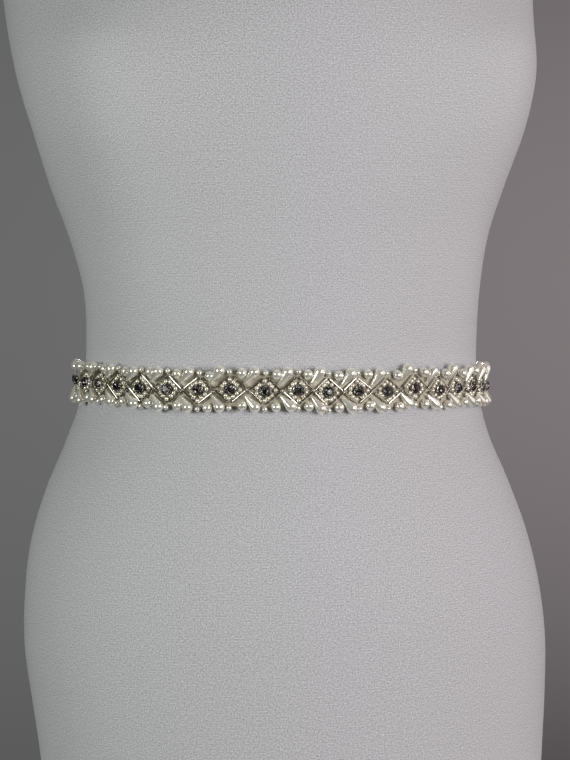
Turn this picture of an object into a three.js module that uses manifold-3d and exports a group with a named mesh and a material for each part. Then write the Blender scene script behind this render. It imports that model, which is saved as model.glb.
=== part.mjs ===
// Beaded bridal sash on a limbless dress form. Millimetres, +Z up, front towards -Y.
// The form stands on its flat underside at z = 0. The sash is a satin ribbon round the waist
// that carries a row of bead motifs across the front, and laps over itself at the centre back.
import * as THREE from "three";
import { ConvexGeometry } from "three/addons/geometries/ConvexGeometry.js";
import { mergeVertices } from "three/addons/utils/BufferGeometryUtils.js";
import Module from "manifold-3d";

const wasm = await Module();
wasm.setup();

// Dress form, level by level: half the width, how far back the widest line lies, and the depth
// of the body in front of and behind that line.
const FORM_LEVELS = [
  { z: 0, side: 136, axis: -16, front: 93, back: 99 },
  { z: 3, side: 141, axis: -16, front: 98, back: 104 },
  { z: 10, side: 144, axis: -16, front: 101, back: 107 },
  { z: 30, side: 146.5, axis: -16, front: 102, back: 112 },
  { z: 60, side: 149, axis: -15, front: 102.5, back: 117.5 },
  { z: 90, side: 152.6, axis: -8.5, front: 107.5, back: 118 },
  { z: 120, side: 156, axis: 2.5, front: 115.5, back: 114.5 },
  { z: 150, side: 155, axis: 12, front: 121, back: 111 },
  { z: 180, side: 150.5, axis: 22, front: 125, back: 105 },
  { z: 210, side: 141, axis: 27.5, front: 123.5, back: 101 },
  { z: 240, side: 128, axis: 25.5, front: 117, back: 98 },
  { z: 270, side: 118.5, axis: 12, front: 101, back: 104 },
  { z: 300, side: 116.5, axis: 2.5, front: 91.5, back: 105.5 },
  { z: 330, side: 118, axis: -2, front: 88, back: 108 },
  { z: 360, side: 125, axis: 6, front: 100, back: 103 },
  { z: 390, side: 135.5, axis: 7, front: 108, back: 105 },
  { z: 420, side: 145, axis: -1, front: 107, back: 117 },
  { z: 450, side: 153, axis: 6, front: 120, back: 114 },
  { z: 480, side: 157.4, axis: 25, front: 139, back: 98 },
  { z: 510, side: 160.5, axis: 32, front: 140, back: 93 },
  { z: 540, side: 163.6, axis: 29, front: 128, back: 96 },
  { z: 570, side: 167, axis: 23, front: 110, back: 99 },
  { z: 600, side: 170, axis: 24, front: 94, back: 92 },
  { z: 625, side: 163, axis: 25, front: 80, back: 85 },
  { z: 645, side: 140, axis: 26, front: 67, back: 78 },
  { z: 660, side: 108, axis: 26, front: 57, back: 73 },
  { z: 672, side: 80, axis: 27, front: 52, back: 68 },
  { z: 685, side: 63, axis: 27, front: 50, back: 63 },
  { z: 705, side: 56, axis: 28, front: 50, back: 57 },
  { z: 736, side: 54.5, axis: 29, front: 48.5, back: 54.5 },
  { z: 746, side: 52, axis: 30, front: 46, back: 52 },
  { z: 752, side: 45, axis: 30, front: 39, back: 45 },
  { z: 755, side: 34, axis: 30, front: 29, back: 34 },
];
// Two rises on the front, one each side of its middle, that end sooner above than below.
const BUST = { z: 461, angle: 0.95, rise: 17, spreadAngle: 0.36, spreadBelow: 90, spreadAbove: 30 };
const FORM_SIDES = 36;
// More levels at the sash and the bust.
const FORM_EXTRA_HEIGHTS = [230, 250, 260, 280, 290, 310, 435, 460, 470, 490, 500, 525];

// Sash: where it lies on the form, and the ribbon it is made on.
const SASH_Z = 273.3;
const SASH_SIDE_TILT = -0.0285; // the -X side sits higher
const SASH_FRONT_TILT = 0.019; // the front sits lower
const RIBBON_WIDTH = 19;
const RIBBON_WALL = 1;
const RIBBON_GAP_BOTTOM = 0.4; // the lower edge rests on the flare of the hip
const RIBBON_GAP_TOP = 2; // the upper edge stands off the hollow of the waist
const RIBBON_STEP = 8; // length of one flat of the ribbon
const SEAM_GAP = 0.3;
const LAP_LENGTH = 36; // the right end lies over the left one at the centre back
const LAP_RISE = { from: 18, to: 4 }; // the top end climbs between these distances before the lap
const SAMPLES = { count: 864, reach: 1.2 * Math.PI }; // along the ribbon, past the centre back both ways
const TURN_STEP = 0.001; // radians, for directions on the skin and on the ribbon
const WELD = 1e-4; // points nearer than this are one point

// Bead motif, seen from in front: x along the ribbon, y up, z out from the ribbon's face.
const MOTIF_BED = { width: 15.2, height: 18, wall: 0.8 }; // beads' footing of thread and net
const DIAMOND = { halfWidth: 7.7, halfHeight: 7.8 };
const BEAD_SINK = 0.3; // depth a bead sinks into the bed
const BUGLE = { radius: 0.75, sides: 5 };
const ROUND_PEARL = { x: 5.2, y: 8.9, radius: 2.65, sides: 7, rows: 4 };
const DROP_PEARL = {
  x: -6.1,
  y: 8.1,
  length: 11.2,
  radius: 2.95,
  slant: 0.7, // radians from upright
  tipGirth: 0.56, // shares of the radius towards the tip and towards the full end
  endGirth: 1.32,
  sides: 7,
  rows: 5,
};
const STONE = { radius: 3, table: 1.8, girdle: 3.2, height: 4.8, sides: 8 };

// Motif places by hand: distance along the ribbon from the centre front, rise, and turn in radians.
const MOTIF_PLACES = [
  { along: -185, rise: 0.1, turn: 0.02 },
  { along: -167.6, rise: 0, turn: -0.02 },
  { along: -149.8, rise: 0.3, turn: 0.03 },
  { along: -132.8, rise: 0, turn: 0 },
  { along: -115.9, rise: -0.3, turn: -0.02 },
  { along: -99, rise: -0.7, turn: 0.02 },
  { along: -81.8, rise: -0.9, turn: 0 },
  { along: -63.4, rise: -1.1, turn: -0.03 },
  { along: -45.6, rise: 0.2, turn: 0.02 },
  { along: -26.4, rise: -0.3, turn: 0 },
  { along: -8.4, rise: 0.1, turn: 0.02 },
  { along: 8.2, rise: -0.6, turn: -0.02 },
  { along: 25.3, rise: -0.1, turn: 0.03 },
  { along: 43.3, rise: -0.4, turn: 0 },
  { along: 61.7, rise: 1.2, turn: -0.02 },
  { along: 80.2, rise: -0.1, turn: 0.02 },
  { along: 96.9, rise: 0.5, turn: 0 },
  { along: 114.4, rise: 0.6, turn: 0.02 },
  { along: 131, rise: -0.3, turn: -0.02 },
  { along: 148.4, rise: -0.8, turn: 0 },
  { along: 165.6, rise: -0.9, turn: 0.02 },
  { along: 182.8, rise: -0.8, turn: 0 },
];

// Finishes of the pieces.
const JERSEY = { color: 0xb9b8b8, roughness: 0.9 };
const SATIN = { color: 0xcfc8b4, roughness: 0.45 };
const BEADS = { color: 0xe6e1d6, roughness: 0.3 };
const SMOKY_STONE = { color: 0x3a3834, roughness: 0.12, metalness: 0.3 };

const part = new THREE.Group();

function addMesh(name, geometry, finish) {
  const mesh = new THREE.Mesh(geometry, new THREE.MeshStandardMaterial(finish));
  mesh.name = name;
  part.add(mesh);
  return mesh;
}

// One size of the form at height z: a smooth curve through the levels' values.
function formSize(z, column) {
  const last = FORM_LEVELS.length - 1;
  let i = FORM_LEVELS.findLastIndex((level) => level.z <= z);
  i = Math.min(Math.max(i, 0), last - 1);
  const slope = (k) => {
    const below = FORM_LEVELS[Math.max(k - 1, 0)];
    const above = FORM_LEVELS[Math.min(k + 1, last)];
    return (above[column] - below[column]) / (above.z - below.z);
  };
  const step = FORM_LEVELS[i + 1].z - FORM_LEVELS[i].z;
  const t = (z - FORM_LEVELS[i].z) / step;
  const hold = (1 + 2 * t) * (1 - t) ** 2;
  return (
    hold * FORM_LEVELS[i][column] +
    (1 - hold) * FORM_LEVELS[i + 1][column] +
    step * t * (1 - t) * ((1 - t) * slope(i) - t * slope(i + 1))
  );
}

// A point of the form's skin: angle from the centre front towards +X, at height z.
function formPoint(angle, z) {
  const depth = formSize(z, Math.cos(angle) > 0 ? "front" : "back");
  const turn = Math.abs(Math.atan2(Math.sin(angle), Math.cos(angle)));
  const aside = (turn - BUST.angle) / BUST.spreadAngle;
  const above = (z - BUST.z) / (z < BUST.z ? BUST.spreadBelow : BUST.spreadAbove);
  const bust = BUST.rise * Math.exp(-(aside ** 2) - above ** 2);
  return new THREE.Vector3(
    formSize(z, "side") * Math.sin(angle),
    formSize(z, "axis") - depth * Math.cos(angle) - bust,
    z,
  );
}

function formOutward(angle, z) {
  const along = formPoint(angle + TURN_STEP, z).sub(formPoint(angle - TURN_STEP, z));
  return new THREE.Vector3(along.y, -along.x, 0).normalize();
}

// Closed skin over rings of points that each turn right-handed about the direction of the loft.
function loft(rings) {
  const count = rings[0].length;
  const centre = (ring) =>
    ring.reduce((sum, p) => sum.add(p), new THREE.Vector3()).divideScalar(count);
  const points = [...rings.flat(), centre(rings[0]), centre(rings.at(-1))];
  const first = rings.length * count;
  const index = [];
  for (let j = 0; j < count; j++) {
    const k = (j + 1) % count;
    for (let i = 0; i < rings.length - 1; i++) {
      const a = i * count;
      const b = a + count;
      index.push(a + j, a + k, b + k, a + j, b + k, b + j);
    }
    const end = first - count;
    index.push(first, k, j, first + 1, end + j, end + k);
  }
  const geometry = new THREE.BufferGeometry().setFromPoints(points);
  return geometry.setIndex(index);
}

function solid(geometry) {
  const bare = geometry.clone();
  bare.deleteAttribute("normal");
  bare.deleteAttribute("uv");
  const merged = mergeVertices(bare, WELD);
  return new wasm.Manifold(
    new wasm.Mesh({
      numProp: 3,
      vertProperties: merged.attributes.position.array,
      triVerts: new Uint32Array(merged.index.array),
    }),
  );
}

function geometryOf(body) {
  const mesh = body.getMesh();
  return new THREE.BufferGeometry()
    .setAttribute("position", new THREE.BufferAttribute(mesh.vertProperties, 3))
    .setIndex(new THREE.BufferAttribute(mesh.triVerts, 1));
}

// The form: a ring of points at each level, with closer levels at the sash and the bust.
const formHeights = [...FORM_LEVELS.map((level) => level.z), ...FORM_EXTRA_HEIGHTS];
formHeights.sort((a, b) => a - b);
const formRings = formHeights.map((z) =>
  Array.from({ length: FORM_SIDES }, (_, j) => formPoint((2 * Math.PI * j) / FORM_SIDES, z)),
);
addMesh("dress_form", loft(formRings), JERSEY);

// A point of the ribbon: height from -1 to 1 across its width, out from its inner face.
function ribbonPoint(angle, height, out) {
  const level = formPoint(angle, SASH_Z);
  const back = level.y - formSize(SASH_Z, "axis");
  const z = SASH_Z + SASH_SIDE_TILT * level.x + SASH_FRONT_TILT * back;
  const low = z - RIBBON_WIDTH / 2;
  const high = z + RIBBON_WIDTH / 2;
  const bottom = formPoint(angle, low).addScaledVector(formOutward(angle, low), RIBBON_GAP_BOTTOM);
  const top = formPoint(angle, high).addScaledVector(formOutward(angle, high), RIBBON_GAP_TOP);
  return bottom.lerp(top, (height + 1) / 2).addScaledVector(formOutward(angle, z), out);
}

// Lengths along the middle of the ribbon's outer face from the centre front, past the centre back.
const sampleAngles = Array.from(
  { length: SAMPLES.count + 1 },
  (_, i) => SAMPLES.reach * ((2 * i) / SAMPLES.count - 1),
);
const sampleLengths = [0];
for (let i = 1; i <= SAMPLES.count; i++) {
  const here = ribbonPoint(sampleAngles[i], 0, RIBBON_WALL);
  const before = ribbonPoint(sampleAngles[i - 1], 0, RIBBON_WALL);
  sampleLengths.push(sampleLengths[i - 1] + here.distanceTo(before));
}
const centreFront = sampleLengths[SAMPLES.count / 2];

// One column of the samples at a given value of the other.
function between(value, from, to) {
  const i = Math.max(from.findIndex((sample) => sample > value), 1);
  const share = (value - from[i - 1]) / (from[i] - from[i - 1]);
  return to[i - 1] + share * (to[i] - to[i - 1]);
}
const ribbonAngle = (along) => between(along + centreFront, sampleLengths, sampleAngles);
const ribbonLength = (angle) => between(angle, sampleAngles, sampleLengths) - centreFront;

// The ribbon runs once round the form. Its right end rises over the left one at the centre back.
const ribbonStart = ribbonLength(-Math.PI) - LAP_LENGTH / 2;
const ribbonEnd = ribbonLength(Math.PI) + LAP_LENGTH / 2;
const lapStart = ribbonEnd - LAP_LENGTH;
const ribbonSteps = Math.ceil((ribbonEnd - ribbonStart) / RIBBON_STEP);
const ribbonRings = Array.from({ length: ribbonSteps + 1 }, (_, i) => {
  const along = ribbonStart + ((ribbonEnd - ribbonStart) * i) / ribbonSteps;
  const angle = ribbonAngle(along);
  const rise = THREE.MathUtils.smoothstep(along, lapStart - LAP_RISE.from, lapStart - LAP_RISE.to);
  const inner = rise * (RIBBON_WALL + SEAM_GAP);
  return [
    ribbonPoint(angle, -1, inner),
    ribbonPoint(angle, 1, inner),
    ribbonPoint(angle, 1, inner + RIBBON_WALL),
    ribbonPoint(angle, -1, inner + RIBBON_WALL),
  ];
});
addMesh("ribbon", loft(ribbonRings), SATIN);

// One motif: the bugle diamond with its round and drop pearls, joined on their bed.
const bed = new THREE.BoxGeometry(MOTIF_BED.width, MOTIF_BED.height, MOTIF_BED.wall);
let motif = solid(bed.translate(0, 0, MOTIF_BED.wall / 2));
const bugleLength = Math.hypot(DIAMOND.halfWidth, DIAMOND.halfHeight) - BUGLE.radius;
const bugleSlant = Math.atan2(DIAMOND.halfWidth, DIAMOND.halfHeight);
const footing = MOTIF_BED.wall - BEAD_SINK;
for (const right of [-1, 1]) {
  for (const up of [-1, 1]) {
    const bugle = new THREE.CylinderGeometry(BUGLE.radius, BUGLE.radius, bugleLength, BUGLE.sides)
      .rotateZ(right * up * bugleSlant)
      .translate(
        (right * DIAMOND.halfWidth) / 2,
        (up * DIAMOND.halfHeight) / 2,
        footing + BUGLE.radius,
      );
    motif = motif.add(solid(bugle));
  }
}
for (const up of [-1, 1]) {
  const round = new THREE.SphereGeometry(ROUND_PEARL.radius, ROUND_PEARL.sides, ROUND_PEARL.rows)
    .rotateX(Math.PI / 2)
    .translate(ROUND_PEARL.x, up * ROUND_PEARL.y, footing + ROUND_PEARL.radius);
  const drop = new THREE.SphereGeometry(1, DROP_PEARL.sides, DROP_PEARL.rows);
  const at = drop.attributes.position;
  for (let i = 0; i < at.count; i++) {
    const lengthwise = at.getY(i); // 1 at the narrow tip
    const share = THREE.MathUtils.lerp(DROP_PEARL.endGirth, DROP_PEARL.tipGirth, (lengthwise + 1) / 2);
    const girth = DROP_PEARL.radius * share;
    at.setXYZ(i, at.getX(i) * girth, (lengthwise * DROP_PEARL.length) / 2, at.getZ(i) * girth);
  }
  drop
    .rotateZ(up > 0 ? Math.PI - DROP_PEARL.slant : DROP_PEARL.slant)
    .translate(DROP_PEARL.x, up * DROP_PEARL.y, footing + DROP_PEARL.radius);
  motif = motif.add(solid(round)).add(solid(drop));
}
const motifGeometry = geometryOf(motif);

// One stone in its setting, standing clear of the bed in the middle of the diamond.
const stonePoints = [];
for (const [radius, z] of [
  [STONE.radius, MOTIF_BED.wall + SEAM_GAP],
  [STONE.radius, STONE.girdle],
  [STONE.table, STONE.height],
]) {
  for (let k = 0; k < STONE.sides; k++) {
    const turn = ((k + 0.5) * 2 * Math.PI) / STONE.sides;
    stonePoints.push(new THREE.Vector3(radius * Math.cos(turn), radius * Math.sin(turn), z));
  }
}
const stoneGeometry = new ConvexGeometry(stonePoints);

// Motifs and stones stand on the ribbon's outer face at their places.
MOTIF_PLACES.forEach((place, i) => {
  const angle = ribbonAngle(place.along);
  const face = RIBBON_WALL + SEAM_GAP;
  const height = (2 * place.rise) / RIBBON_WIDTH;
  const before = ribbonPoint(angle - TURN_STEP, 0, face);
  const along = ribbonPoint(angle + TURN_STEP, 0, face).sub(before).normalize();
  const up = ribbonPoint(angle, 1, face).sub(ribbonPoint(angle, -1, face)).normalize();
  const out = along.clone().cross(up).normalize();
  const frame = new THREE.Matrix4().makeBasis(along, out.clone().cross(along), out);
  const number = String(i + 1).padStart(2, "0");
  for (const mesh of [
    addMesh("motif_" + number, motifGeometry, BEADS),
    addMesh("stone_" + number, stoneGeometry, SMOKY_STONE),
  ]) {
    mesh.setRotationFromMatrix(frame);
    mesh.rotateZ(place.turn);
    mesh.position.copy(ribbonPoint(angle, height, face));
  }
});

export default part;
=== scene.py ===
import math

import bpy
import numpy as np
from mathutils import Matrix, Vector


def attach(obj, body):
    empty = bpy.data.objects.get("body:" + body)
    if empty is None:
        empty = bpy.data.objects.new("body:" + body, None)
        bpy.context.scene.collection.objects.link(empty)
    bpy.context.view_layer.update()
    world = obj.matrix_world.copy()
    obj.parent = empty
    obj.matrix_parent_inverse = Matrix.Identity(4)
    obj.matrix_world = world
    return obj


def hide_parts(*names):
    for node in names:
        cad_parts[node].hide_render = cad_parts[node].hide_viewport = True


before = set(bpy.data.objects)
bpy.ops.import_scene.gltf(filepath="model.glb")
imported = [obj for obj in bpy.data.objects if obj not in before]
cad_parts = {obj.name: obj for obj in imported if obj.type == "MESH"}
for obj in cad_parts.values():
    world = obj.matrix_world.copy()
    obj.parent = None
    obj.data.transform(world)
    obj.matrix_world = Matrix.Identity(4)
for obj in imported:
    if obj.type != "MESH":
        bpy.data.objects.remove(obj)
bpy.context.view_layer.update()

# Dress form: a limbless torso of firm foam that stands on its flat underside, smooth all over.
# Its cover is one tube of fine white jersey, pulled on tight, so its courses run level round the body
# and its wales open a little where the torso is fuller.
FORM_LEVELS = np.array([  # height, half width, how far back the widest line lies, depth before and behind it
    (0, 136, -16, 93, 99), (3, 141, -16, 98, 104), (10, 144, -16, 101, 107),
    (30, 146.5, -16, 102, 112), (60, 149, -15, 102.5, 117.5), (90, 152.6, -8.5, 107.5, 118),
    (120, 156, 2.5, 115.5, 114.5), (150, 155, 12, 121, 111), (180, 150.5, 22, 125, 105),
    (210, 141, 27.5, 123.5, 101), (240, 128, 25.5, 117, 98), (270, 118.5, 12, 101, 104),
    (300, 116.5, 2.5, 91.5, 105.5), (330, 118, -2, 88, 108), (360, 125, 6, 100, 103),
    (390, 135.5, 7, 108, 105), (420, 145, -1, 107, 117), (450, 153, 6, 120, 114),
    (480, 157.4, 25, 139, 98), (510, 160.5, 32, 140, 93), (540, 163.6, 29, 128, 96),
    (570, 167, 23, 110, 99), (600, 170, 24, 94, 92), (625, 163, 25, 80, 85),
    (645, 140, 26, 67, 78), (660, 108, 26, 57, 73), (672, 80, 27, 52, 68), (685, 63, 27, 50, 63),
    (705, 56, 28, 50, 57), (736, 54.5, 29, 48.5, 54.5), (746, 52, 30, 46, 52),
    (752, 45, 30, 39, 45), (755, 34, 30, 29, 34),
])
BUST_HEIGHT = 461
BUST_ANGLE = 0.95
BUST_RISE = 17
BUST_SPREAD = (0.36, 90, 30)  # in radians round the body, and in mm below and above


def form_size(z, column):
    """One size of the form at heights z, on a smooth curve through the levels."""
    heights = FORM_LEVELS[:, 0]
    values = FORM_LEVELS[:, column]
    padded_heights = np.concatenate([heights[:1], heights, heights[-1:]])
    padded_values = np.concatenate([values[:1], values, values[-1:]])
    slopes = (padded_values[2:] - padded_values[:-2]) / (padded_heights[2:] - padded_heights[:-2])
    i = np.clip(np.searchsorted(heights, z, side="right") - 1, 0, len(heights) - 2)
    step = heights[i + 1] - heights[i]
    t = (z - heights[i]) / step
    hold = (1 + 2 * t) * (1 - t) ** 2
    bend = step * t * (1 - t) * ((1 - t) * slopes[i] - t * slopes[i + 1])
    return hold * values[i] + (1 - hold) * values[i + 1] + bend


def form_point(angle, z):
    """Points of the form's skin in mm, at angles from the centre front towards +X and heights z."""
    angle, z = np.broadcast_arrays(np.asarray(angle, float), np.asarray(z, float))
    depth = np.where(np.cos(angle) > 0, form_size(z, 3), form_size(z, 4))
    aside = (np.abs(np.arctan2(np.sin(angle), np.cos(angle))) - BUST_ANGLE) / BUST_SPREAD[0]
    above = (z - BUST_HEIGHT) / np.where(z < BUST_HEIGHT, BUST_SPREAD[1], BUST_SPREAD[2])
    bust = BUST_RISE * np.exp(-aside ** 2 - above ** 2)
    x = form_size(z, 1) * np.sin(angle)
    y = form_size(z, 2) - depth * np.cos(angle) - bust
    return np.stack([x, y, z], axis=-1)


def grid_faces(rows, columns):
    """Four-cornered faces between rows of points that each close on themselves."""
    row = np.arange(rows - 1)[:, None] * columns
    here = np.arange(columns)[None, :]
    beside = (here + 1) % columns
    corners = np.stack([row + here, row + beside, row + columns + beside, row + columns + here], axis=-1)
    return corners.reshape(-1, 4).tolist()


def mesh_piece(name, points, faces, sharp_angle=0.6):
    """A smooth mesh from points in mm, with creases where faces meet at more than the angle."""
    mesh = bpy.data.meshes.new(name)
    mesh.from_pydata((np.asarray(points) * 0.001).tolist(), [], faces)
    mesh.polygons.foreach_set("use_smooth", np.ones(len(mesh.polygons), bool))
    mesh.set_sharp_from_angle(angle=sharp_angle)
    piece = bpy.data.objects.new(name, mesh)
    bpy.context.scene.collection.objects.link(piece)
    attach(piece, "root")
    return piece


def new_material(name, color, roughness, **sockets):
    """A principled material, its other sockets given by name with underscores for spaces."""
    material = bpy.data.materials.new(name)
    material.use_nodes = True
    shader = material.node_tree.nodes["Principled BSDF"]
    shader.inputs["Base Color"].default_value = (*color, 1)
    shader.inputs["Roughness"].default_value = roughness
    for socket, value in sockets.items():
        shader.inputs[socket.replace("_", " ")].default_value = value
    return material


def math_node(material, operation, *inputs):
    """A math node whose inputs are numbers or the outputs of other nodes."""
    node = material.node_tree.nodes.new("ShaderNodeMath")
    node.operation = operation
    for socket, value in zip(node.inputs, inputs):
        if isinstance(value, (int, float)):
            socket.default_value = value
        else:
            material.node_tree.links.new(value, socket)
    return node.outputs["Value"]


def bump(material, height, strength, distance):
    """Raises a material's surface by a height from another node."""
    nodes = material.node_tree.nodes
    relief = nodes.new("ShaderNodeBump")
    relief.inputs["Strength"].default_value = strength
    relief.inputs["Distance"].default_value = distance
    material.node_tree.links.new(height, relief.inputs["Height"])
    material.node_tree.links.new(relief.outputs["Normal"], nodes["Principled BSDF"].inputs["Normal"])


FORM_SIDES = 160
form_heights = np.concatenate([np.arange(0, 12, 1.5), np.arange(12, 734, 4), np.arange(734, 755.5, 1.5)])
form_heights[-1] = 755
form_angles = 2 * math.pi * np.arange(FORM_SIDES) / FORM_SIDES
form_points = form_point(form_angles[None, :], form_heights[:, None]).reshape(-1, 3)
form_faces = grid_faces(len(form_heights), FORM_SIDES)
form_faces.append(list(range(FORM_SIDES))[::-1])
form_faces.append(list(range(len(form_points) - FORM_SIDES, len(form_points))))
dress_form = mesh_piece("jersey_form", form_points, form_faces)

# The cover's own flat coordinates in metres: round the body at its relaxed girth, and up it.
COVER_GIRTH = 0.62
cover_uv = dress_form.data.uv_layers.new(name="cover")
loop_points = np.empty(len(dress_form.data.loops), int)
dress_form.data.loops.foreach_get("vertex_index", loop_points)
loop_turn = (loop_points % FORM_SIDES) / FORM_SIDES
face_first = np.repeat([f[0] % FORM_SIDES for f in form_faces], [len(f) for f in form_faces]) / FORM_SIDES
loop_turn = np.where((face_first > 0.9) & (loop_turn < 0.1), loop_turn + 1, loop_turn)
loop_heights = form_heights[loop_points // FORM_SIDES] * 0.001
cover_uv.data.foreach_set("uv", np.stack([loop_turn * COVER_GIRTH, loop_heights], axis=-1).ravel())

# Jersey: rows of V-shaped stitches in a slightly slubbed yarn, raised in relief, with painted shade
# darkening the colour in the furrows between them.
WALE = 0.0009
COURSE = 0.0014
jersey = new_material("white_jersey", (0.55, 0.55, 0.55), 0.9, Specular_IOR_Level=0.2)
jersey_nodes = jersey.node_tree.nodes
jersey_links = jersey.node_tree.links
cover_map = jersey_nodes.new("ShaderNodeUVMap")
cover_map.uv_map = "cover"
cover_axes = jersey_nodes.new("ShaderNodeSeparateXYZ")
jersey_links.new(cover_map.outputs["UV"], cover_axes.inputs["Vector"])
across = math_node(jersey, "FRACT", math_node(jersey, "DIVIDE", cover_axes.outputs["X"], WALE))
leg = math_node(jersey, "ABSOLUTE", math_node(jersey, "SUBTRACT", across, 0.5))
slanted = math_node(jersey, "ADD", math_node(jersey, "DIVIDE", cover_axes.outputs["Y"], COURSE), leg)
loop_wave = math_node(jersey, "SINE", math_node(jersey, "MULTIPLY", slanted, 2 * math.pi))
wale_wave = math_node(jersey, "COSINE", math_node(jersey, "MULTIPLY", leg, 4 * math.pi))
stitch = math_node(jersey, "SUBTRACT", loop_wave, math_node(jersey, "MULTIPLY", wale_wave, 0.6))
slub_map = jersey_nodes.new("ShaderNodeMapping")
slub_map.inputs["Scale"].default_value = (1900, 1200, 1)
jersey_links.new(cover_map.outputs["UV"], slub_map.inputs["Vector"])
slub = jersey_nodes.new("ShaderNodeTexNoise")
slub.inputs["Scale"].default_value = 1
slub.inputs["Detail"].default_value = 2
jersey_links.new(slub_map.outputs["Vector"], slub.inputs["Vector"])
yarn_tone_and_stitch_shade = math_node(jersey, "MULTIPLY_ADD", slub.outputs["Fac"], 1.15, -0.09)
# Painted shade: the stitch pattern lightens the colour on the loops and darkens it in the furrows between
# them.
yarn_tone_and_stitch_shade = math_node(jersey, "MULTIPLY_ADD", stitch, 0.045, yarn_tone_and_stitch_shade)
tint = jersey_nodes.new("ShaderNodeMixRGB")
tint.inputs["Color1"].default_value = (0.16, 0.16, 0.161, 1)
tint.inputs["Color2"].default_value = (0.94, 0.94, 0.941, 1)
jersey_links.new(yarn_tone_and_stitch_shade, tint.inputs["Fac"])
jersey_links.new(tint.outputs["Color"], jersey_nodes["Principled BSDF"].inputs["Base Color"])
bump(jersey, stitch, 0.12, 0.00012)
dress_form.data.materials.append(jersey)
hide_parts("dress_form")

# Ribbon: one length of 19 mm ivory satin ribbon with woven edges, passed round the form under its waist.
# Its lower edge rests on the flare of the hip and its upper edge stands off a little.
# The right end laps over the left one at the centre back, each end turned under in a narrow hem.
SASH_Z = 273.3
SASH_SIDE_TILT = -0.0285  # the -X side sits higher
SASH_FRONT_TILT = 0.019  # the front sits lower
RIBBON_WIDTH = 19
RIBBON_FACE = 1.0  # outer face of the ribbon, from the inner face of its solid
RIBBON_CLOTH = 0.45
GAP_BOTTOM = 0.4
GAP_TOP = 2
LAP = 36
LAP_RISE = 1.3
HEM = 7


def form_outward(angle, z):
    """Level directions straight out of the form's skin."""
    along = form_point(angle + 0.001, z) - form_point(angle - 0.001, z)
    out = np.stack([along[..., 1], -along[..., 0], np.zeros_like(along[..., 0])], axis=-1)
    return out / np.linalg.norm(out, axis=-1, keepdims=True)


def ribbon_point(angle, height, out):
    """Points in mm: height above the ribbon's middle, and out from the inner face of its solid."""
    angle, height, out = np.broadcast_arrays(*(np.asarray(v, float) for v in (angle, height, out)))
    level = form_point(angle, SASH_Z)
    behind = level[..., 1] - form_size(SASH_Z, 2)
    z = SASH_Z + SASH_SIDE_TILT * level[..., 0] + SASH_FRONT_TILT * behind
    low = z - RIBBON_WIDTH / 2
    high = z + RIBBON_WIDTH / 2
    bottom = form_point(angle, low) + GAP_BOTTOM * form_outward(angle, low)
    top = form_point(angle, high) + GAP_TOP * form_outward(angle, high)
    share = (height / RIBBON_WIDTH + 0.5)[..., None]
    return bottom + (top - bottom) * share + form_outward(angle, z) * out[..., None]


ring_angles = np.linspace(-1.2 * math.pi, 1.2 * math.pi, 1729)
ring_steps = np.diff(ribbon_point(ring_angles, 0, RIBBON_FACE), axis=0)
ring_lengths = np.concatenate([[0], np.cumsum(np.linalg.norm(ring_steps, axis=1))])
ring_lengths -= np.interp(0, ring_angles, ring_lengths)


def on_ribbon(along, height, out):
    """Points in mm: along the ribbon from the centre front, above its middle, out from its face."""
    angle = np.interp(along, ring_lengths, ring_angles)
    return ribbon_point(angle, height, RIBBON_FACE + np.asarray(out, float))


ribbon_start = np.interp(-math.pi, ring_angles, ring_lengths) - LAP / 2
ribbon_end = np.interp(math.pi, ring_angles, ring_lengths) + LAP / 2
ribbon_along = np.arange(ribbon_start, ribbon_end, 1.5)
ribbon_along = np.append(ribbon_along, ribbon_end)
lap_share = np.clip((ribbon_along - (ribbon_end - LAP - 18)) / 14, 0, 1)
lap_out = LAP_RISE * lap_share ** 2 * (3 - 2 * lap_share)
end_distance = np.minimum(ribbon_along - ribbon_start, ribbon_end - ribbon_along)
hem_wall = RIBBON_CLOTH + 0.45 * np.clip((HEM - end_distance) / 0.8, 0, 1)
edge = RIBBON_WIDTH / 2
middle_heights = np.linspace(-7.5, 7.5, 7)
selvedge = np.array([edge - 0.9, edge - 0.5, edge])
outer_heights = np.concatenate([-selvedge[::-1], middle_heights, selvedge])
outer_out = np.array([-0.15, 0, -0.12, *np.full(7, -0.1), -0.12, 0, -0.15])
section_heights = np.concatenate([outer_heights, outer_heights[::-1]])
section_count = len(section_heights)
section_inner = np.concatenate([np.zeros(len(outer_heights)), np.ones(len(outer_heights))])
section_out = np.concatenate([outer_out, outer_out[::-1]])
ribbon_out = section_out[None, :] - section_inner[None, :] * (hem_wall[:, None] - 0.1) + lap_out[:, None]
ribbon_points = on_ribbon(ribbon_along[:, None], section_heights[None, :], ribbon_out).reshape(-1, 3)
ribbon_faces = [face[::-1] for face in grid_faces(len(ribbon_along), section_count)]
ribbon_faces.append(list(range(section_count)))
ribbon_faces.append(list(range(len(ribbon_points) - section_count, len(ribbon_points)))[::-1])
ribbon = mesh_piece("satin_ribbon", ribbon_points, ribbon_faces)
ribbon_uv = ribbon.data.uv_layers.new(name="weave")
loop_points = np.empty(len(ribbon.data.loops), int)
ribbon.data.loops.foreach_get("vertex_index", loop_points)
weave_along = ribbon_along[loop_points // section_count] * 0.001
weave_up = section_heights[loop_points % section_count] * 0.001
ribbon_uv.data.foreach_set("uv", np.stack([weave_along, weave_up], axis=-1).ravel())

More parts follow.
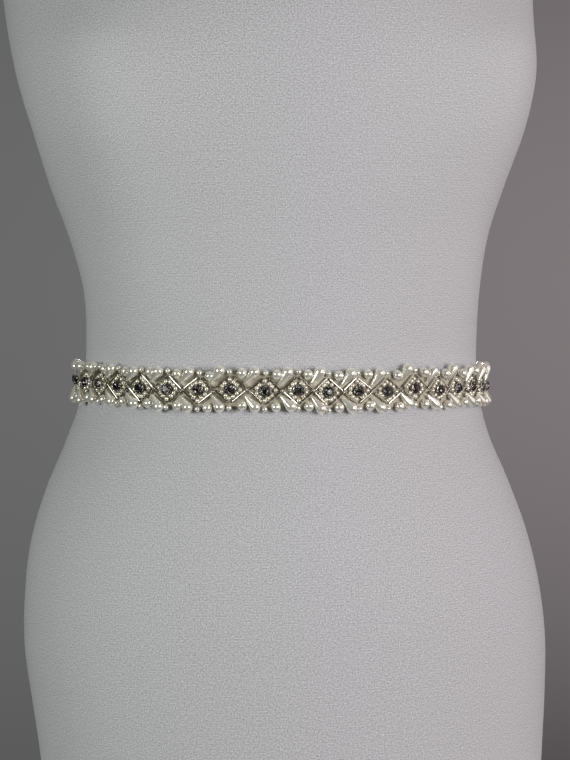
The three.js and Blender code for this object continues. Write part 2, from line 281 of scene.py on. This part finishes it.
# Satin: long warp floats along the ribbon, so the sheen stretches across it.
satin = new_material("ivory_satin", (0.58, 0.535, 0.405), 0.42, Specular_IOR_Level=0.5,
                     Anisotropic=0.5, Sheen_Weight=0.1)
satin_nodes = satin.node_tree.nodes
satin_links = satin.node_tree.links
weave_map = satin_nodes.new("ShaderNodeUVMap")
weave_map.uv_map = "weave"
weave_scale = satin_nodes.new("ShaderNodeMapping")
weave_scale.inputs["Scale"].default_value = (400, 5000, 1)
satin_links.new(weave_map.outputs["UV"], weave_scale.inputs["Vector"])
floats = satin_nodes.new("ShaderNodeTexNoise")
floats.inputs["Scale"].default_value = 1
satin_links.new(weave_scale.outputs["Vector"], floats.inputs["Vector"])
float_tone = satin_nodes.new("ShaderNodeMixRGB")
float_tone.inputs["Color1"].default_value = (0.5, 0.46, 0.345, 1)
float_tone.inputs["Color2"].default_value = (0.66, 0.61, 0.465, 1)
satin_links.new(floats.outputs["Fac"], float_tone.inputs["Fac"])
satin_links.new(float_tone.outputs["Color"], satin_nodes["Principled BSDF"].inputs["Base Color"])
bump(satin, floats.outputs["Fac"], 0.3, 0.00005)
ribbon.data.materials.append(satin)
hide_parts("ribbon")

# Bugle diamonds: four silver-lined glass tubes sewn down end to end round each stone, by hand and by eye.
# Neighbouring diamonds share a corner, so each is as wide as the thread spacing left it.
MOTIF_PLACES = np.array([  # distance along the ribbon from the centre front, rise, turn
    (-185, 0.1, 0.02), (-167.6, 0, -0.02), (-149.8, 0.3, 0.03), (-132.8, 0, 0), (-115.9, -0.3, -0.02),
    (-99, -0.7, 0.02), (-81.8, -0.9, 0), (-63.4, -1.1, -0.03), (-45.6, 0.2, 0.02), (-26.4, -0.3, 0),
    (-8.4, 0.1, 0.02), (8.2, -0.6, -0.02), (25.3, -0.1, 0.03), (43.3, -0.4, 0), (61.7, 1.2, -0.02),
    (80.2, -0.1, 0.02), (96.9, 0.5, 0), (114.4, 0.6, 0.02), (131, -0.3, -0.02), (148.4, -0.8, 0),
    (165.6, -0.9, 0.02), (182.8, -0.8, 0),
])
MOTIF_NODES = [f"motif_{number + 1:02d}" for number in range(len(MOTIF_PLACES))]
STONE_NODES = [f"stone_{number + 1:02d}" for number in range(len(MOTIF_PLACES))]
DIAMOND_HALF_HEIGHT = 7.9
BUGLE_LENGTH = 9.8
BUGLE_RADIUS = 0.75
BUGLE_BORE = 0.5
CORNER_LIFT = 0.9  # four bugles and their threads meet there, and prop each other up
hand = np.random.default_rng(11)  # the unevenness of hand sewing


def motif_points(spots):
    """Points in mm from rows of motif number, x along, y up and z out, each motif turned and raised."""
    number, x, y, z = np.asarray(spots, float).T
    along, rise, turn = MOTIF_PLACES[number.astype(int)].T
    turned_x = x * np.cos(turn) - y * np.sin(turn)
    turned_y = x * np.sin(turn) + y * np.cos(turn)
    return on_ribbon(along + turned_x, rise + turned_y, z)


def lathe(profile, sides, closed=False):
    """Points and faces turned about z from (radius, height) pairs that run from the low end up."""
    turn = 2 * math.pi * np.arange(sides) / sides
    rings = [np.stack([r * np.cos(turn), r * np.sin(turn), np.full(sides, h)], axis=-1) for r, h in profile]
    if closed:
        rings.append(rings[0])
    points = np.concatenate(rings)
    return points, grid_faces(len(rings), sides)


def bead_frames(centres, axes):
    """Matrices that carry a bead's z axis to each axis, at each centre."""
    axes = axes / np.linalg.norm(axes, axis=1, keepdims=True)
    side = np.cross(axes, np.array([0.3, 0.2, 0.93]))
    side /= np.linalg.norm(side, axis=1, keepdims=True)
    frames = np.zeros((len(centres), 4, 4))
    frames[:, :3, 0] = side
    frames[:, :3, 1] = np.cross(axes, side)
    frames[:, :3, 2] = axes
    frames[:, :3, 3] = centres
    frames[:, 3, 3] = 1
    return frames


def bead_piece(name, bead, frames, sharp_angle=0.6):
    """One joined mesh of a bead at each frame, with a tint from 0 to 1 for each bead."""
    points, faces = bead
    placed = np.einsum("mij,kj->mki", frames[:, :3, :3], points) + frames[:, None, :3, 3]
    firsts = len(points) * np.arange(len(frames))
    all_faces = [[int(first) + corner for corner in face] for first in firsts for face in faces]
    piece = mesh_piece(name, placed.reshape(-1, 3), all_faces, sharp_angle)
    shade = piece.data.attributes.new("tint", "FLOAT", "POINT")
    shade.data.foreach_set("value", np.repeat(hand.random(len(frames)), len(points)))
    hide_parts(*MOTIF_NODES)
    return piece


def speckle(material, scale, dark, light):
    """Mixes two tones into the base colour by a fine noise. Returns the noise and the share it drives."""
    nodes = material.node_tree.nodes
    links = material.node_tree.links
    noise = nodes.new("ShaderNodeTexNoise")
    noise.inputs["Scale"].default_value = scale
    links.new(nodes.new("ShaderNodeTexCoord").outputs["Object"], noise.inputs["Vector"])
    mix = nodes.new("ShaderNodeMixRGB")
    mix.inputs["Color1"].default_value = (*dark, 1)
    mix.inputs["Color2"].default_value = (*light, 1)
    links.new(noise.outputs["Fac"], mix.inputs["Fac"])
    links.new(mix.outputs["Color"], nodes["Principled BSDF"].inputs["Base Color"])
    return noise.outputs["Fac"], mix.inputs["Fac"]


centres = MOTIF_PLACES[:, 0]
reach = np.diff(centres) / 2
reach_left = np.concatenate([reach[:1], reach])
reach_right = np.concatenate([reach, reach[-1:]])
corners = []
points_of_diamond = []
for number in range(len(MOTIF_PLACES)):
    for side, width in ((-1, reach_left[number]), (1, reach_right[number])):
        for up in (-1, 1):
            slack = hand.normal(0, 0.2, 4)
            lift = BUGLE_RADIUS + np.abs(hand.normal(0, 0.4, 2)) + (CORNER_LIFT, 0)
            corners.append((number, side * width + slack[0], slack[1], lift[0]))
            points_of_diamond.append((number, slack[2], up * DIAMOND_HALF_HEIGHT + slack[3], lift[1]))
corners = motif_points(corners)
points_of_diamond = motif_points(points_of_diamond)
half = BUGLE_LENGTH / 2
bugle = lathe([
    (BUGLE_BORE, -half), (BUGLE_RADIUS - 0.1, -half), (BUGLE_RADIUS, -half + 0.1),
    (BUGLE_RADIUS, half - 0.1), (BUGLE_RADIUS - 0.1, half), (BUGLE_BORE, half),
], 24, closed=True)
bugles = bead_piece("bugle_beads", bugle,
                    bead_frames((corners + points_of_diamond) / 2, points_of_diamond - corners))
silver_lined = new_material("silver_lined_glass", (0.52, 0.5, 0.43), 0.1, Metallic=0.95,
                            Coat_Weight=0.3, Coat_Roughness=0.03)
lining = speckle(silver_lined, 700, (0.36, 0.34, 0.28), (0.7, 0.67, 0.58))[0]
bump(silver_lined, lining, 0.12, 0.0001)
bugles.data.materials.append(silver_lined)

# Corner beads: a silver-lined seed bead sewn over the corner where two diamonds meet.
# It hides the thread ends of the four bugles.
CORNER_RADIUS = 1.05
joins = [(number, width, 0, CORNER_RADIUS + CORNER_LIFT) for number, width in enumerate(reach_right[:-1])]
join_up = motif_points([(n, x, y + 1, z) for n, x, y, z in joins])
join_centres = motif_points(joins)
polar = np.linspace(-math.pi / 2 + 0.45, math.pi / 2 - 0.45, 9)
barrel = [(CORNER_RADIUS * math.cos(a), CORNER_RADIUS * 0.8 * math.sin(a)) for a in polar]
corner_bead = lathe(barrel, 18, closed=True)
corner_beads = bead_piece("corner_beads", corner_bead, bead_frames(join_centres, join_up - join_centres))
corner_beads.data.materials.append(silver_lined)

# Drop pearls: imitation pearl drops sewn along the two left sides of each diamond, through the narrow tip.
# The tip lies by the corner of the diamond and the full end stands past the ribbon's edge.
DROP_LENGTH = 11.2
DROP_RADIUS = 3.05
DROP_TIP = 0.75
DROP_TIP_X = 1.3  # how far the tip passes the corner of the diamond
DROP_ROWS = {-1: (3.1, 0.84, 2.65), 1: (3.8, 0.9, 3.3)}  # lower and upper row: tip height, slope, tip lift


def pearl_material(name, ivory, cream, **sockets):
    """Pearl lustre: a part-metallic body with a pale rim under a clear coat, each bead of its own tone."""
    material = new_material(name, ivory, 0.14, Metallic=0.55, Coat_Weight=1.0, Coat_Roughness=0.03,
                            Sheen_Weight=1.0, Sheen_Roughness=0.3, **sockets)
    nacre, cream_share = speckle(material, 500, ivory, cream)
    tint = material.node_tree.nodes.new("ShaderNodeAttribute")
    tint.attribute_name = "tint"
    own_tone = math_node(material, "MULTIPLY", tint.outputs["Fac"], 0.5)
    shade = math_node(material, "MULTIPLY_ADD", nacre, 0.5, own_tone)
    material.node_tree.links.new(shade, cream_share)
    return material


ball_height = DROP_LENGTH - DROP_RADIUS
cone = math.asin((DROP_RADIUS - DROP_TIP) / (ball_height - DROP_TIP))
tip_arc = np.linspace(0.02, math.pi / 2 - cone, 8)
ball_arc = np.linspace(math.pi / 2 - cone, math.pi - 0.02, 18)
drop = lathe([(DROP_TIP * math.sin(a), DROP_TIP - DROP_TIP * math.cos(a)) for a in tip_arc]
             + [(DROP_RADIUS * math.sin(a), ball_height - DROP_RADIUS * math.cos(a)) for a in ball_arc], 28)
tips = []
ends = []
for number in range(len(MOTIF_PLACES)):
    for up in (-1, 1):
        tip_height, slope, tip_lift = DROP_ROWS[up]
        lean = slope + hand.normal(0, 0.05)
        x = -DROP_TIP_X - reach_left[number] + hand.normal(0, 0.25)
        y = tip_height + hand.normal(0, 0.25)
        end_lift = DROP_RADIUS + abs(hand.normal(0, 0.2))
        tips.append((number, x, up * y, tip_lift))
        end_x = x + ball_height * math.cos(lean)
        end_y = y + ball_height * math.sin(lean)
        ends.append((number, end_x, up * end_y, end_lift))
tips = motif_points(tips)
drops = bead_piece("drop_pearls", drop, bead_frames(tips, motif_points(ends) - tips))
pearl = pearl_material("pearl_drops", (0.98, 0.955, 0.84), (0.92, 0.88, 0.73))
drops.data.materials.append(pearl)

# Round pearls: one sewn into the corner above and below the right side of each diamond.
# A smaller one closes the top and bottom points of the diamond.
ROUND_RADIUS = 2.7
POINT_RADIUS = 1.6


def ball(radius, sides):
    """A round bead, its pole openings no wider than a thread."""
    polar = np.linspace(0.03, math.pi - 0.03, sides // 2 + 1)
    return lathe([(radius * math.sin(a), -radius * math.cos(a)) for a in polar], sides)


rounds = []
points = []
for number in range(len(MOTIF_PLACES)):
    for up in (-1, 1):
        slip = hand.normal(0, 0.25, 4)
        rounds.append((number, reach_right[number] - 2.8 + slip[0], up * 8.8 + slip[1], ROUND_RADIUS))
        points.append((number, slip[2], up * 10 + slip[3], POINT_RADIUS + 0.2))
rounds = motif_points(rounds)
points = motif_points(points)
round_pearls = bead_piece("round_pearls", ball(ROUND_RADIUS, 28),
                          bead_frames(rounds, np.tile([1.0, 0.1, 0.2], (len(rounds), 1))))
round_pearls.data.materials.append(pearl)
point_pearls = bead_piece("point_pearls", ball(POINT_RADIUS, 20),
                          bead_frames(points, np.tile([1.0, 0.1, 0.2], (len(points), 1))))
point_pearls.data.materials.append(pearl)

# Centre stones: a smoky faceted glass stone held by four claws in a silver cup.
# The cup is sewn through its foot to the middle of each diamond.
STONE_RADIUS = 3
CUP_RADIUS = 3.2
GIRDLE = 3.2  # height of the stone's widest line above the ribbon


def stone_cut():
    """Points and flat faces of a round cut: table, stars, kites and halves, down to the girdle."""
    eighth = math.pi / 4 * np.arange(8)
    sixteenth = math.pi / 8 * np.arange(16)
    rings = []
    for turn, radius, height in ((eighth, 1.4, 1.6), (eighth + math.pi / 8, 2.25, 1.1),
                                 (sixteenth, STONE_RADIUS, 0.1), (sixteenth, STONE_RADIUS, -0.3)):
        level = np.full(len(turn), height)
        rings.append(np.stack([radius * np.cos(turn), radius * np.sin(turn), level], axis=-1))
    table, star, girdle, foot = 0, 8, 16, 32
    faces = [list(range(8)), list(range(foot, foot + 16))[::-1]]
    for k in range(8):
        after = (k + 1) % 8
        left, mid, right = girdle + 2 * k, girdle + 2 * k + 1, girdle + (2 * k + 2) % 16
        faces.append([table + k, star + k, table + after])
        faces.append([table + k, star + (k - 1) % 8, left, star + k])
        faces.append([star + k, left, mid])
        faces.append([star + k, mid, right])
    for k in range(16):
        after = (k + 1) % 16
        faces.append([girdle + k, foot + k, foot + after, girdle + after])
    return np.concatenate(rings), faces


stone_spots = []
for number in range(len(MOTIF_PLACES)):
    slip = hand.normal(0, 0.15, 2)
    stone_spots.append((number, slip[0], slip[1], GIRDLE))
stone_centres = motif_points(stone_spots)
stone_out = motif_points([(n, x, y, z + 1) for n, x, y, z in stone_spots]) - stone_centres
stone_frames = bead_frames(stone_centres, stone_out + hand.normal(0, 0.06, stone_out.shape))
stones = bead_piece("smoky_stones", stone_cut(), stone_frames, sharp_angle=0.05)
smoky = new_material("smoky_stone", (0.12, 0.115, 0.11), 0.06, Metallic=1.0, Coat_Weight=0.5,
                     Coat_Roughness=0.02)
speckle(smoky, 800, (0.045, 0.04, 0.037), (0.16, 0.15, 0.145))
smoky_nodes = smoky.node_tree.nodes
smoky_links = smoky.node_tree.links
glint_cells = smoky_nodes.new("ShaderNodeTexVoronoi")
glint_cells.inputs["Scale"].default_value = 1500
smoky_links.new(smoky_nodes.new("ShaderNodeTexCoord").outputs["Object"], glint_cells.inputs["Vector"])
glint_tilt = smoky_nodes.new("ShaderNodeVectorMath")
glint_tilt.operation = "MULTIPLY_ADD"
glint_tilt.inputs[1].default_value = (1.4, 1.4, 1.4)
glint_tilt.inputs[2].default_value = (-0.7, -0.7, -0.7)
smoky_links.new(glint_cells.outputs["Color"], glint_tilt.inputs[0])
glint_sum = smoky_nodes.new("ShaderNodeVectorMath")
smoky_links.new(glint_tilt.outputs["Vector"], glint_sum.inputs[0])
smoky_links.new(smoky_nodes.new("ShaderNodeNewGeometry").outputs["Normal"], glint_sum.inputs[1])
glint_normal = smoky_nodes.new("ShaderNodeVectorMath")
glint_normal.operation = "NORMALIZE"
smoky_links.new(glint_sum.outputs["Vector"], glint_normal.inputs[0])
smoky_links.new(glint_normal.outputs["Vector"], smoky_nodes["Principled BSDF"].inputs["Normal"])
stones.data.materials.append(smoky)
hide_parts(*STONE_NODES)
cup = lathe([(1.2, -3.0), (2.0, -3.0), (CUP_RADIUS, -0.9), (CUP_RADIUS, 0.0), (CUP_RADIUS - 0.15, 0.1),
             (CUP_RADIUS - 0.2, -0.35), (1.2, -1.2)], 24, closed=True)
cups = bead_piece("stone_cups", cup, stone_frames)
silver = new_material("setting_silver", (0.5, 0.48, 0.45), 0.22, Metallic=1.0)
speckle(silver, 900, (0.3, 0.28, 0.25), (0.7, 0.68, 0.65))
cups.data.materials.append(silver)
claw_frames = []
for place in stone_frames:
    for quarter in range(4):
        turn = Matrix.Rotation(math.pi / 2 * quarter + 0.4, 4, "Z")
        lean = Matrix.Translation((STONE_RADIUS - 0.1, 0, 0.15)) @ Matrix.Rotation(-0.6, 4, "Y")
        claw_frames.append(place @ np.array(turn @ lean @ Matrix.Diagonal((0.3, 0.42, 0.75, 1))))
claws = bead_piece("stone_claws", ball(1.0, 12), np.array(claw_frames))
claws.data.materials.append(silver)

# Seed pearls: a ring of small ivory pearls fills each diamond round its stone.
# They are backstitched one by one, so the ring follows the diamond and is not quite even.
SEED_RADIUS = 1.3
SEEDS = 11
seeds = []
for number in range(len(MOTIF_PLACES)):
    start = hand.random() * 0.4 - 0.2
    for k in range(SEEDS):
        turn = start + 2 * math.pi * k / SEEDS + hand.normal(0, 0.09)
        wide = min(reach_left[number], reach_right[number]) - 3.0
        radius = max(4.3, 1 / (abs(math.cos(turn)) / wide + abs(math.sin(turn)) / 5.6))
        lift = SEED_RADIUS + hand.random() * 0.3
        seeds.append((number, radius * math.cos(turn), radius * math.sin(turn), lift))
seeds = motif_points(seeds)
seed_pearls = bead_piece("seed_pearls", ball(SEED_RADIUS, 18),
                         bead_frames(seeds, np.tile([1.0, 0.1, 0.2], (len(seeds), 1))))
seed_pearls.data.materials.append(pearl_material("seed_ivory", (0.88, 0.84, 0.7), (0.78, 0.74, 0.57)))

# Setting for the picture: a pale disc to stand on, a grey room, two small soft boxes before the form,
# a wide one on its left, towards +X, and a small one behind it.
# The camera looks from a little to the form's right, just above the level of the sash.
disc_points, disc_faces = lathe([(0.01, -6), (220, -6), (220, 0), (0.01, 0)], 96)
floor = mesh_piece("floor", disc_points - np.array([0, 0, 0.2]), disc_faces)
board = new_material("pale_floor", (0.7, 0.7, 0.7), 0.7)
speckle(board, 60, (0.67, 0.67, 0.67), (0.73, 0.73, 0.73))
floor.data.materials.append(board)

# The room: a grey backdrop, paler on the right and at the height of the sash, under a pale ceiling,
# and dark behind the camera.
world = bpy.data.worlds.new("grey_room")
bpy.context.scene.world = world
world.use_nodes = True
room_nodes = world.node_tree.nodes
room_links = world.node_tree.links
room = room_nodes["Background"]
room_axes = room_nodes.new("ShaderNodeSeparateXYZ")
room_links.new(room_nodes.new("ShaderNodeTexCoord").outputs["Generated"], room_axes.inputs["Vector"])


def room_share(x, y, low, high, low_share, high_share):
    """A share that runs from one value to another as the direction's part along (x, y) grows."""
    along = math_node(world, "ADD", math_node(world, "MULTIPLY", room_axes.outputs["X"], x),
                      math_node(world, "MULTIPLY", room_axes.outputs["Y"], y))
    share = room_nodes.new("ShaderNodeMapRange")
    share.interpolation_type = "SMOOTHSTEP"
    for socket, value in zip(share.inputs[1:5], (low, high, low_share, high_share)):
        socket.default_value = value
    room_links.new(along, share.inputs["Value"])
    return share.outputs["Result"]


to_right = room_share(0.985, -0.174, -0.2, 0.2, 0, 1)
from_sash = math_node(world, "POWER", math_node(world, "SUBTRACT", room_axes.outputs["Z"], 0.01), 2)
steepness = math_node(world, "MULTIPLY_ADD", to_right, 6, 5)
fade = math_node(world, "SUBTRACT", 1, math_node(world, "MULTIPLY", from_sash, steepness))
fade = math_node(world, "MAXIMUM", fade, 0.4)
unlit = room_share(0.174, 0.985, 0.4, 0.95, 0.3, 1)
ceiling = math_node(world, "MAXIMUM", math_node(world, "MULTIPLY_ADD", room_axes.outputs["Z"], 3, -1.5), 0)
room_links.new(math_node(world, "MULTIPLY_ADD", fade, unlit, ceiling), room.inputs["Strength"])
wall = room_nodes.new("ShaderNodeMixRGB")
wall.inputs["Color1"].default_value = (0.140, 0.140, 0.140, 1)
wall.inputs["Color2"].default_value = (0.213, 0.190, 0.198, 1)
room_links.new(to_right, wall.inputs["Fac"])
room_links.new(wall.outputs["Color"], room.inputs["Color"])

AXIS_POINT = Vector((0, 0.011, 0.274))


def soft_box(name, azimuth, height, distance, size, power, color):
    """A square light that faces the sash, azimuth in degrees from straight in front towards +X."""
    lamp = bpy.data.lights.new(name, "AREA")
    lamp.shape = "SQUARE"
    lamp.size = size
    lamp.energy = power
    lamp.color = color
    box = bpy.data.objects.new(name, lamp)
    box.visible_camera = False
    turn = math.radians(azimuth)
    box.location = AXIS_POINT + Vector((math.sin(turn) * distance, -math.cos(turn) * distance, height))
    box.rotation_euler = (AXIS_POINT - box.location).to_track_quat("-Z", "Y").to_euler()
    bpy.context.scene.collection.objects.link(box)


soft_box("box_left", -56, 0.08, 0.8, 0.27, 2.6, (0.96, 1.0, 0.99))
soft_box("box_right", 22, 0.08, 0.8, 0.27, 2.85, (1.0, 0.965, 1.0))
soft_box("side_right", 66, 0.1, 0.8, 0.9, 2.55, (1.0, 0.93, 0.95))
soft_box("box_behind", 170, 0.15, 1.0, 0.3, 5, (1.0, 1.0, 1.0))

CAMERA_DISTANCE = 1.2
CAMERA_AZIMUTH = math.radians(-10)
CAMERA_HEIGHT = math.radians(2)
CAMERA_ROLL = math.radians(-0.9)
back = Vector((math.sin(CAMERA_AZIMUTH) * math.cos(CAMERA_HEIGHT),
               -math.cos(CAMERA_AZIMUTH) * math.cos(CAMERA_HEIGHT), math.sin(CAMERA_HEIGHT)))
right = Vector((math.cos(CAMERA_AZIMUTH), math.sin(CAMERA_AZIMUTH), 0))
up = back.cross(right)
right, up = (right * math.cos(CAMERA_ROLL) + up * math.sin(CAMERA_ROLL),
             up * math.cos(CAMERA_ROLL) - right * math.sin(CAMERA_ROLL))
lens = bpy.data.cameras.new("camera")
lens.lens = 94.7
lens.sensor_width = 36
camera = bpy.data.objects.new("camera", lens)
place = AXIS_POINT + right * 0.0024 + back * CAMERA_DISTANCE
camera.matrix_world = Matrix((
    (right.x, up.x, back.x, place.x), (right.y, up.y, back.y, place.y),
    (right.z, up.z, back.z, place.z), (0, 0, 0, 1),
))
bpy.context.scene.collection.objects.link(camera)
bpy.context.scene.camera = camera
bpy.context.scene.view_settings.view_transform = "Standard"
